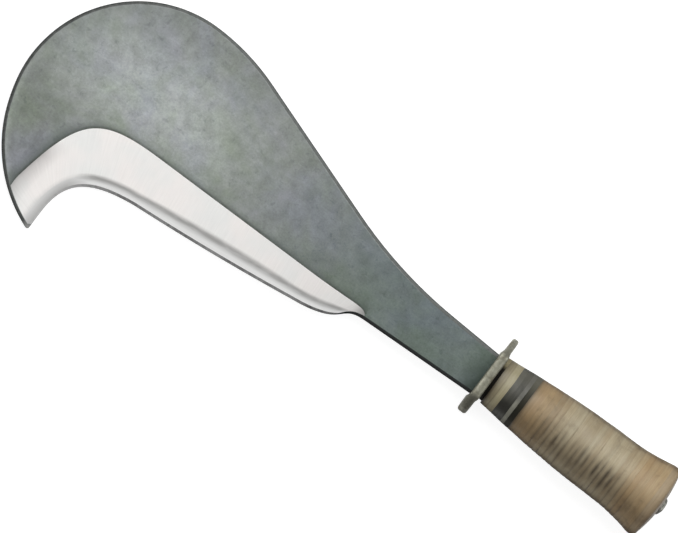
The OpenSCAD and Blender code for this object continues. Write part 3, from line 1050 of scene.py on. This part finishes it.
def add_tang(verts, faces):
    a, b = len(verts), len(verts) + 4
    for x in (-TANG_SINK, peen_x + PEEN_H / 2):
        for sy, sz in ((-1, -1), (1, -1), (1, 1), (-1, 1)):
            verts.append((x * MM, sy * TANG_W / 2 * MM, sz * TANG_T / 2 * MM))
    for i in range(4):
        j = (i + 1) % 4
        faces.append((a + i, b + i, b + j, a + j))
    faces.append((a, a + 1, a + 2, a + 3))
    faces.append((b, b + 1, b + 2, b + 3))


def add_peened_head(verts, faces):
    rings = []
    for share, rise in PEEN_LEVELS:
        rings.append(range(len(verts), len(verts) + PEEN_POINTS))
        for k in range(PEEN_POINTS):
            t = 2 * pi * k / PEEN_POINTS
            dent = round_noise(t, 2.2 * share, 4.0 + rise)
            r = peen_d / 2 * share * (1 + PEEN_DENT_R * dent)
            x = peen_x + min(PEEN_H, PEEN_H * rise * (1 + PEEN_DENT_H * dent))
            verts.append((x * MM, r * cos(t) * MM, r * sin(t) * MM))
    for low, high in zip(rings, rings[1:]):
        for k in range(PEEN_POINTS):
            m = (k + 1) % PEEN_POINTS
            faces.append((low[k], low[m], high[m], high[k]))
    faces.append(tuple(rings[-1]))
    faces.append(tuple(reversed(rings[0])))


def give_blade_values(obj, facts):
    """What the blade's materials read, for its points and then for those of the tang and peened head."""
    throat = CURVE_STEPS + LONG_STEPS

    def climb(first, shares):
        start, end = (ALONG[first + round(CURVE_STEPS * share)] for share in shares)
        return [clamp((f.along - start) / (end - start)) for f in facts]

    band_end = climb(throat, BAND_END)
    values = {
        "rim_share": ([min(f.rim_share, RIM_FAR) for f in facts], RIM_FAR),
        "honed_share": ([f.honed_share for f in facts], FAR),
        "past_mm": ([f.past_mm for f in facts], FAR),
        "line_strength": ([1.0 - LINE_LOSS * v for v in climb(throat, LINE_END)], 0.0),
        "band_strength": ([v * (1.0 - e) for v, e in zip(climb(0, BAND_START), band_end)], 0.0),
        "beak_strength": (band_end, 0.0),
    }
    extra = len(obj.data.vertices) - len(facts)
    for name, (known, other) in values.items():
        give_values(obj, name, known + [other] * extra)


def unwrap_blade(mesh, facts):
    """Places along and in from the edge on the ground faces, plain places elsewhere."""
    layer = mesh.uv_layers.new(name="UVMap")
    for loop in mesh.loops:
        i = loop.vertex_index
        if i < len(facts) and facts[i].edge_mm < FAR:
            layer.data[loop.index].uv = (facts[i].along * MM, facts[i].edge_mm * MM)
        else:
            layer.data[loop.index].uv = mesh.vertices[i].co.xy


def crease_blade(mesh):
    """Creases where the finish changes and where the blade turns steeply."""
    owners = {}
    for poly in mesh.polygons:
        for key in poly.edge_keys:
            owners.setdefault(key, []).append(poly)
    for edge in mesh.edges:
        pair = owners.get(edge.key, [])
        if len(pair) == 2:
            a, b = pair
            steep = a.normal.angle(b.normal, 0.0) > radians(CREASE_ANGLE)
            kinds_differ = a.material_index != b.material_index
            edge.use_edge_sharp = kinds_differ or (steep and a.material_index != TANG)
    mesh.update()


def make_blade():
    verts, faces, kinds, facts = blade_mesh()
    add_tang(verts, faces)
    add_peened_head(verts, faces)
    kinds += [TANG] * (len(faces) - len(kinds))
    peened = struck_steel("peened_steel", PEEN_TINTS, peen_d / 2, PEEN_SHADE)
    mats = [flat_steel(), ground_steel(), honed_steel(), micro_steel(), rim_steel(), peened]
    obj = new_object("blade_forged", verts, faces, mats, kinds)
    give_blade_values(obj, facts)
    unwrap_blade(obj.data, facts)
    crease_blade(obj.data)
    part_of(obj, "blade", "blade_steel")


# Rings round the tang, with one point or value for each turn; across the blade, a turn of 0 is its back
TURNS = [2 * pi * k / RING_POINTS for k in range(RING_POINTS)]
FLUSH = [0.0] * RING_POINTS


def per_turn(value):
    return value if isinstance(value, list) else [value] * RING_POINTS


def grip_half(x):
    swell = (GRIP_BELLY - GRIP_FRONT) * sind(90 * min(1, x / BELLY_X))
    flare = BUTT_FLARE * max(0.0, (x - flare_x) / (butt_x - flare_x)) ** FLARE_POWER
    return GRIP_FRONT + swell + flare


def slot_ring(x):
    """Points round the tang's slot."""
    ring = []
    for t in TURNS:
        c, s = cos(t), sin(t)
        reach = min(slot_w / 2 / max(abs(c), TINY), slot_t / 2 / max(abs(s), TINY))
        ring.append((x, reach * c, reach * s))
    return ring


def oval_ring(x, half, oval=GRIP_OVAL):
    """Points round an oval; x and half are numbers or have one value for each turn."""
    return [
        (at, r * cos(t), r * oval * sin(t))
        for at, r, t in zip(per_turn(x), per_turn(half), TURNS)
    ]


def ring_piece(name, node, slot, mat, rings, seams=None, streaks=None, sharp_angle=40):
    """A closed ring round the tang from loops of points, the last joined to the first."""
    verts = [(x * MM, y * MM, z * MM) for ring in rings for x, y, z in ring]
    faces = []
    for r in range(len(rings)):
        a = r * RING_POINTS
        b = (r + 1) % len(rings) * RING_POINTS
        for k in range(RING_POINTS):
            m = (k + 1) % RING_POINTS
            faces.append((a + k, a + m, b + m, b + k))
    obj = new_object(name, verts, faces, [mat], sharp_angle=sharp_angle)
    for label, dirt_and_shade in (("seam", seams), ("streak", streaks)):
        give_values(obj, label, [v for d in dirt_and_shade or [0] * len(rings) for v in per_turn(d)])
    across = [y for ring in rings for _, y, _ in ring]
    reach = max(across)
    give_values(obj, "side", [y / reach for y in across])
    part_of(obj, node, slot)


# Random draws, made once for each seam, in the order in which the discs are made
chance = random.Random(20)
SEAM_DEPTHS = {}
SEAM_STREAKS = {}


def seam_depth(j, x):
    """Depth of the groove at seam j: the seams are open in mid grip and on its lower side."""
    if j not in SEAM_DEPTHS:
        middle = exp(-((x - SEAM_OPEN_X) / SEAM_OPEN_REACH) ** 2)
        share = (SEAM_QUIET + (1 - SEAM_QUIET) * middle) * chance.random() ** SEAM_POWER
        base = SEAM_MIN + (SEAM_MAX - SEAM_MIN) * share
        depths = []
        for t in TURNS:
            ripple = max(0.1, 0.7 + 0.9 * round_noise(t, 2.4, 3.1 * j + 0.5))
            lower = max(0.0, -cos(t - SEAM_LOWER_TURN))
            upper = max(0.0, cos(t))
            gain = 1 + SEAM_LOWER_GAIN * lower - SEAM_UPPER_LOSS * upper
            depths.append(base * ripple * gain + SEAM_LEAST)
        SEAM_DEPTHS[j] = depths
    return SEAM_DEPTHS[j]


def seam_streak(j, x):
    """Darkness beside seam j, dirt and painted shade: it lies below the middle, where the hand holds the grip
    and where shade falls.
    """
    if j not in SEAM_STREAKS:
        held = clamp(min(x - STREAK_FIRST_X, STREAK_LAST_X - x) / STREAK_RUN)
        amount = held * chance.uniform(*STREAK_AMOUNT)
        top = chance.uniform(*STREAK_TOP)
        foot = chance.uniform(*STREAK_FOOT)
        SEAM_STREAKS[j] = [
            amount * clamp(min(top - cos(t), cos(t) - foot) / STREAK_FADE) for t in TURNS
        ]
    return SEAM_STREAKS[j]


# Seams whose dark ring has stained the leather disc behind it: how far, on the lower and the upper side
STAINS = {1: WASHER_STAIN, TAN_COUNT + DARK_COUNT + 3: BAND_STAIN}


def front_stain(j):
    lower, upper = STAINS.get(j, (0.0, 0.0))
    return [lower + (upper - lower) * ease((1 + cos(t)) / 2) for t in TURNS]


def seam_x(j, x):
    """Place of seam j: the discs aren't quite true."""
    return [x + SEAM_WOBBLE * round_noise(t, 1.3, 7.3 * j + 0.5) for t in TURNS]


def surface_wave(x, t):
    return SURFACE_WAVE * round_noise(t, 2.0, 0.11 * x)


def skin(xs, inset):
    """Ring on the grip's surface, moved in by the inset."""
    return oval_ring(xs, [grip_half(x) + surface_wave(x, t) - i for x, t, i in zip(xs, TURNS, inset)])


# Half a disc from its seam: place, and shares of the groove's depth, of its dirt and painted shade and of the
# streak
DISC_PROFILE = (
    (0.0, 1.0, 1.0, 1.0),
    (0.05, 0.5, 1.0, 0.97),
    (0.14, 0.16, 0.3, 0.82),
    (0.3, 0.0, 0.0, 0.5),
    (0.5, 0.0, 0.0, 0.2),
)
CORE_SHARE = 0.6


def make_disc(name, node, slot, mat, x0, x1, j, inset=FLUSH):
    """One disc of the grip, between seam j at x0 and the next seam at x1, moved in by the inset."""
    front, back = seam_x(j, x0), seam_x(j + 1, x1)
    deep0, deep1 = seam_depth(j, x0), seam_depth(j + 1, x1)
    streak0 = [max(pair) for pair in zip(seam_streak(j, x0), front_stain(j))]
    streak1 = seam_streak(j + 1, x1)
    rows = [(share, row, deep0, streak0) for share, *row in DISC_PROFILE]
    rows += [(1 - share, row, deep1, streak1) for share, *row in reversed(DISC_PROFILE[:-1])]
    rings = [slot_ring(x0), oval_ring(front, CORE_SHARE * grip_half(x0))]
    seams = [1, 1]
    streaks = [0, 0]
    for share, (groove, dirt_and_shade, near), deep, streak in rows:
        xs = [f + share * (b - f) for f, b in zip(front, back)]
        rings.append(skin(xs, [i + groove * d for i, d in zip(inset, deep)]))
        seams.append([dirt_and_shade * min(1.0, d / SEAM_MAX) for d in deep])
        streaks.append([near * s for s in streak])
    rings += [oval_ring(back, CORE_SHARE * grip_half(x1)), slot_ring(x1)]
    ring_piece(name, node, slot, mat, rings, seams + [1, 1], streaks + [0, 0])


def shade(a, b, t):
    return tuple(x + (y - x) * t for x, y in zip(a, b))


# How the discs differ: dirt on the first tan disc, grime and painted shade on the tan discs, warmth of the
# brown ones at both ends, and dark spots
TAN_BASE = (0.64, 1.0)
TAN_LIGHT = (0.72, 1.0)
TAN_GRIME_AND_SHADE = (0.26, 0.16)
DARK_STEP = 0.4
WARM_FRONT = (0.24, 0.1)
WARM_BACK = (0.72, 0.14)
WARM_JITTER = 0.2
BROWN_GAIN = (0.92, 1.05)
FIRST_BROWN_GAIN = 0.87
SPOT_X = 38.5
SPOT_REACH = 4.0
SPOT_LOSS = 0.2


def brown_leather(i):
    """Material of brown disc i, with its two random draws."""
    x = leather_x + sum(leather_t(n) for n in range(i))
    share = (i + 0.5) / LEATHER_COUNT
    warm = clamp((WARM_FRONT[0] - share) / WARM_FRONT[1]) + clamp((share - WARM_BACK[0]) / WARM_BACK[1])
    warm = clamp(warm + chance.uniform(-WARM_JITTER, WARM_JITTER))
    gain = chance.uniform(*BROWN_GAIN)
    gain *= 1 - SPOT_LOSS * exp(-((x - SPOT_X) / SPOT_REACH) ** 2)
    gain *= FIRST_BROWN_GAIN if i == 0 else 1.0
    base, pale = shade(GREY, WARM, warm), shade(GREY_PALE, WARM_PALE, warm)
    return leather(f"leather_brown_{i + 1:02d}", share_of(base, gain), share_of(pale, gain), GREASE)


def grip_discs():
    """Name, node, slot, thickness and material of each disc, from the guard to the butt."""
    yield "washer_of_fibre", "fibre_washer", "fibre", FIBRE_T, fibre_black()
    for i in range(TAN_COUNT):
        base, pale = shade(GREASE, TAN, TAN_BASE[i]), shade(GREASE, TAN_PALE, TAN_LIGHT[i])
        mat = leather(f"leather_tan_{i + 1}", base, pale, GREASE, grime_and_shade=TAN_GRIME_AND_SHADE[i])
        yield f"ring_tan_{i + 1:02d}", f"tan_disc_{i + 1:02d}", "tan_leather", TAN_T, mat
    for i in range(DARK_COUNT):
        base = shade(DARK, BLACK, DARK_STEP * i)
        mat = leather(f"leather_dark_{i + 1}", base, DARK_PALE, SMOKE, grime_and_shade=0.95, dust=0.3)
        yield f"ring_dark_{i + 1:02d}", f"dark_disc_{i + 1:02d}", "dark_leather", DARK_T, mat
    mat = leather("leather_spacer", SPACER, SPACER_PALE, DARK, grime_and_shade=0.35, film=SPACER_FILM)
    yield "ring_spacer", "spacer_disc", "pale_leather", SPACER_T, mat
    mat = leather("leather_band", BLACK, BLACK_PALE, SMOKE, grime_and_shade=0.95, dust=0.6, shine=0.4)
    yield "ring_band", "band_disc", "black_leather", BAND_T, mat
    for i in range(LEATHER_COUNT):
        mat = brown_leather(i)
        yield f"ring_leather_{i + 1:02d}", f"leather_disc_{i + 1:02d}", "brown_leather", leather_t(i), mat


def make_grip():
    fibre_inset = [FIBRE_INSET * (1 - max(0.0, cos(t))) for t in TURNS]
    x = GUARD_T
    for j, (name, node, slot, thick, mat) in enumerate(grip_discs()):
        make_disc(name, node, slot, mat, x, x + thick, j, FLUSH if j else fibre_inset)
        x += thick
    make_butt(j + 1)


# Butt: shares along its side with those of the groove and of its dirt and painted shade, turns round its rim,
# shares in to the seat
BUTT_PROFILE = ((0, 1.0, 0.3), (0.06, 0.5, 0.2), (0.16, 0.12, 0), (0.4, 0, 0), (0.7, 0, 0), (1, 0, 0))
BUTT_RIM_TURNS = (15, 30, 45, 60, 75, 90)
BUTT_DOME = ((0.25, BUTT_GRIME), (0.5, BUTT_GRIME), (0.75, BUTT_GRIME), (0.93, SEAT_GRIME), (1.0, SEAT_GRIME))


def dome_x(y, z):
    return butt_end - DOME_R + sqrt(DOME_R ** 2 - y * y - z * z)


def make_butt(j):
    """Domed disc at the butt, with a rounded rim and a seat for the washer."""
    half = grip_half(butt_x)
    flat_half = half - BUTT_ROUND
    waves = [surface_wave(butt_x, t) for t in TURNS]
    front = seam_x(j, butt_x)
    deep = seam_depth(j, butt_x)
    edge_x = dome_x(flat_half, 0) - BUTT_RIM_SHARE * BUTT_ROUND
    seat = washer_r + SLOT_FIT
    rings = [slot_ring(butt_x), oval_ring(front, CORE_SHARE * half)]
    seams = [1, 1]
    for share, groove, dirt_and_shade in BUTT_PROFILE:
        xs = [x + share * (edge_x - x) for x in front]
        rings.append(oval_ring(xs, [half + wave - groove * d for wave, d in zip(waves, deep)]))
        seams.append(dirt_and_shade)
    tops = [dome_x(flat_half * cos(t), flat_half * GRIP_OVAL * sin(t)) for t in TURNS]
    for turn in BUTT_RIM_TURNS:
        xs = [edge_x + (top - edge_x) * sind(turn) for top in tops]
        inset = BUTT_ROUND * (1 - cosd(turn))
        rings.append(oval_ring(xs, [half + wave * cosd(turn) - inset for wave in waves]))
        seams.append(BUTT_GRIME * sind(turn))
    for share, dirt_and_shade in BUTT_DOME:
        ring = []
        for t in TURNS:
            y = (flat_half + (seat - flat_half) * share) * cos(t)
            z = (flat_half * GRIP_OVAL + (seat - flat_half * GRIP_OVAL) * share) * sin(t)
            ring.append((dome_x(y, z) - (SEAT_LIP if share == 1.0 else 0.0), y, z))
        rings.append(ring)
        seams.append(dirt_and_shade)
    rings += [oval_ring(washer_x, seat, 1.0), slot_ring(washer_x)]
    mat = leather("leather_butt", BUTT, BUTT_PALE, GREASE, 0.52)
    ring_piece("butt_cap", "butt_disc", "butt_leather", mat, rings, seams + [1, 1], sharp_angle=50)


# Washer under the peened head: its edges are broken below and rounded above
WASHER_BREAK = 0.15
WASHER_ROUND = 0.4
WASHER_ROUND_MIDDLE = 0.12
WASHER_FLAT_SHARE = 0.8


def make_butt_washer():
    profile = (
        (washer_x, washer_r - WASHER_BREAK),
        (washer_x + WASHER_BREAK, washer_r),
        (peen_x - WASHER_ROUND, washer_r),
        (peen_x - WASHER_ROUND_MIDDLE, washer_r - WASHER_ROUND_MIDDLE),
        (peen_x, washer_r - WASHER_ROUND),
        (peen_x, WASHER_FLAT_SHARE * washer_r),
    )
    rings = [slot_ring(washer_x), *(oval_ring(x, r, 1.0) for x, r in profile), slot_ring(peen_x)]
    mat = struck_steel("butt_washer_steel", WASHER_TINTS, washer_r, PEEN_SHADE)
    ring_piece("washer_of_butt", "butt_washer", "washer_steel", mat, rings)


# Guard: shares of its width that have a ring on each face
GUARD_FACE_SHARES = (0.45, 0.55, 0.65, 0.75, 0.83, 0.9, 0.95)


def past_blade(y):
    return ease(clamp((abs(y) - GUARD_LEAN_START) / GUARD_LEAN_RUN))


def guard_ring(rear, q, share=1.0):
    """Points round the guard at the turn q of its rounded edge, or on a face at a share of its width."""
    a = GUARD_W / 2
    b = GUARD_D / 2 / sqrt(1 - (GUARD_FLAT_W / GUARD_W) ** 2)
    ring = []
    for t in TURNS:
        y = a * cos(t)
        z = b * sin(t)
        r = GUARD_ROUND + (GUARD_END_ROUND - GUARD_ROUND) * past_blade(y)
        x = GUARD_T - r * (1 - cosd(q)) if rear else r * (1 - cosd(q))
        inset = r * (1 - sind(q))
        away = Vector((cos(t) / a, sin(t) / b)).normalized()
        if abs(z) > GUARD_D / 2:
            z = copysign(GUARD_D / 2, z)
            away = Vector((0, copysign(1, z)))
        y = share * (y - inset * away.x)
        z = share * (z - inset * away.y)
        lean = GUARD_LOWER_LEAN if y < 0 else GUARD_UPPER_LEAN
        shift = past_blade(y) * (lean + (GUARD_REAR_LEAN - lean) * x / GUARD_T)
        worn = GUARD_WEAR * noise.noise(Vector((0.25 * y, 0.25 * z, 0.4 * x)))
        ring.append((x + shift, y + worn * away.x, z + worn * away.y))
    return ring


def make_guard():
    """Oval plate with two flat sides and a worn rim; past the blade, its front face leans a little."""
    turns = [90 * i / GUARD_ROUND_STEPS for i in range(GUARD_ROUND_STEPS + 1)]
    rings = [slot_ring(0)]
    rings += [guard_ring(False, 0, share) for share in GUARD_FACE_SHARES]
    rings += [guard_ring(False, q) for q in turns]
    rings += [guard_ring(True, q) for q in reversed(turns)]
    rings += [guard_ring(True, 0, share) for share in reversed(GUARD_FACE_SHARES)]
    rings.append(slot_ring(GUARD_T))
    mat = struck_steel("guard_worn_steel", GUARD_TINTS, GUARD_W / 2, GUARD_SHADE, GUARD_EDGE_WEAR_AND_HIGHLIGHT)
    ring_piece("guard_plate", "guard", "guard_steel", mat, rings)


make_blade()
make_guard()
make_grip()
make_butt_washer()


# Pale floor, in metres: the guard's lower side and the blade's front rest on it
FLOOR_HALF = 12.0
FLOOR_GAP = 0.0001
FRONT_REST = 2.0
FLOOR_GLOW = 0.85
rest_guard = Vector((GUARD_T / 2, -GUARD_D / 2)) * MM
rest_front = Vector((-BLADE_LEN + FRONT_REST, -half_t(-BLADE_LEN))) * MM
floor_slope = (rest_front.y - rest_guard.y) / (rest_front.x - rest_guard.x)
floor_verts = []
for sx, sy in ((-1, -1), (1, -1), (1, 1), (-1, 1)):
    x, y = sx * FLOOR_HALF, sy * FLOOR_HALF
    floor_verts.append((x, y, rest_guard.y + floor_slope * (x - rest_guard.x) - FLOOR_GAP))
floor_mat, floor_tree = new_material("floor_white")
floor_tint = ramp(cloud(place(floor_tree), 3, 2), (0.3, 0.4), (0.7, 0.41))
dress(floor_mat, 0.0, floor_tint, roughness=0.9, specular=0.2)
feed(floor_tree.nodes["Principled BSDF"].inputs["Emission Color"], (1.0, 1.0, 1.0))
feed(floor_tree.nodes["Principled BSDF"].inputs["Emission Strength"], FLOOR_GLOW)
floor = new_object("floor", floor_verts, [(0, 1, 2, 3)], [floor_mat])
floor.visible_diffuse = False


# Soft studio light, with places and sizes in metres
def soft_light(name, at, target, size, watts):
    lamp = bpy.data.lights.new(name, "AREA")
    lamp.shape = "SQUARE"
    lamp.size = size
    lamp.energy = watts
    obj = bpy.data.objects.new(name, lamp)
    bpy.context.scene.collection.objects.link(obj)
    obj.location = at
    obj.rotation_mode = "QUATERNION"
    obj.rotation_quaternion = (Vector(target) - Vector(at)).to_track_quat("-Z", "Y")
    obj.visible_camera = False


soft_light("key", at=(0.0, 0.95, 1.45), target=(-0.08, 0.0, 0.0), size=1.4, watts=20.0)
soft_light("top", at=(-0.62, 0.05, 1.9), target=(-0.3, 0.0, 0.0), size=1.1, watts=3.7)

# Sky, darker below the horizon
HORIZON = (-0.15, 0.1)
SKY_LIGHT = (0.06, 0.3)
world = bpy.data.worlds.new("studio")
bpy.context.scene.world = world
world.use_nodes = True
sky = world.node_tree
sky_height = part_along("Z", new_node("ShaderNodeTexCoord", "Generated", {}, sky))
feed(sky.nodes["Background"].inputs["Color"], spread(sky_height, HORIZON, SKY_LIGHT))
feed(sky.nodes["Background"].inputs["Strength"], 1.0)

# Camera
camera_data = bpy.data.cameras.new("camera")
camera_data.lens = LENS
camera_data.sensor_width = SENSOR
camera = bpy.data.objects.new("camera", camera_data)
bpy.context.scene.collection.objects.link(camera)
view_width = PHOTO_SIZE[0] * VIEW_MM_PER_PIXEL * MM
camera.location = (VIEW_CENTRE[0] * MM, VIEW_CENTRE[1] * MM, view_width * LENS / SENSOR)
camera.rotation_euler = (0, 0, radians(VIEW_TURN))
bpy.context.scene.camera = camera
bpy.context.scene.view_settings.view_transform = "Standard"
